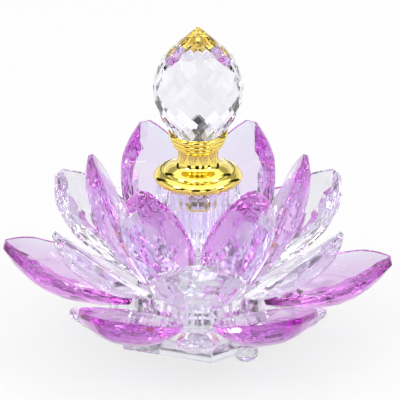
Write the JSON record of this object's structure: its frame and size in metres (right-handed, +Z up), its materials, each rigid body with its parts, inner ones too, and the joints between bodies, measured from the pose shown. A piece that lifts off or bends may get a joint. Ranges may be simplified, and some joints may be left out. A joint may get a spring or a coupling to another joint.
{
  "type": "perfume bottle",
  "caption": "Lotus-shaped cut crystal perfume bottle with violet and clear petals, a gilt screw cap, a faceted finial and a glass dip rod.",
  "frame": {"origin": "on the table plane, under the axis of the bottle, at the middle of the footprint", "axes": "+Z up along the bottle's axis, +X towards the lower petal on the right, +Y away from the front"},
  "size_m": [0.1012, 0.0892, 0.0864],
  "materials": {
    "clear_crystal": "cut and polished clear lead-free crystal",
    "violet_crystal": "cut and polished violet crystal",
    "gilt_brass": "turned brass, polished gold electroplate",
    "sealing_plastic": "moulded translucent polyethylene",
    "clear_bumper": "clear soft polyurethane bumper"
  },
  "bodies": {
    "flower_bottle": {"foot_1": "clear_bumper", "foot_2": "clear_bumper", "foot_3": "clear_bumper", "base_plate": "clear_crystal", "petal_hub": "clear_crystal", "petal_upper_1": "violet_crystal", "petal_upper_2": "violet_crystal", "petal_upper_3": "violet_crystal", "petal_upper_4": "violet_crystal", "petal_upper_5": "violet_crystal", "petal_upper_6": "violet_crystal", "petal_middle_1": "clear_crystal", "petal_middle_2": "clear_crystal", "petal_middle_3": "clear_crystal", "petal_middle_4": "clear_crystal", "petal_middle_5": "clear_crystal", "petal_middle_6": "clear_crystal", "petal_lower_1": "violet_crystal", "petal_lower_2": "violet_crystal", "petal_lower_3": "violet_crystal", "petal_lower_4": "violet_crystal", "petal_lower_5": "violet_crystal", "petal_lower_6": "violet_crystal", "petal_bottom_1": "clear_crystal", "petal_bottom_2": "clear_crystal", "petal_bottom_3": "clear_crystal", "petal_bottom_4": "clear_crystal", "petal_bottom_5": "clear_crystal", "petal_bottom_6": "clear_crystal", "bottle_body": "clear_crystal", "neck_bush": "gilt_brass", "neck_wiper": "sealing_plastic"},
    "applicator": {"dip_rod": "clear_crystal", "cap_liner": "sealing_plastic"},
    "cap": {"cap_shell": "gilt_brass", "cap_finial": "clear_crystal"}
  },
  "joints": [
    {"name": "cap_lift", "type": "slide", "parent": "flower_bottle", "child": "applicator", "axis": [0, 0, 1], "range_m": [0, 0.03]},
    {"name": "cap_turn", "type": "hinge", "parent": "applicator", "child": "cap", "pos_m": [0, 0, 0.0525], "axis": [0, 0, 1], "range_deg": [0, 720]}
  ]
}
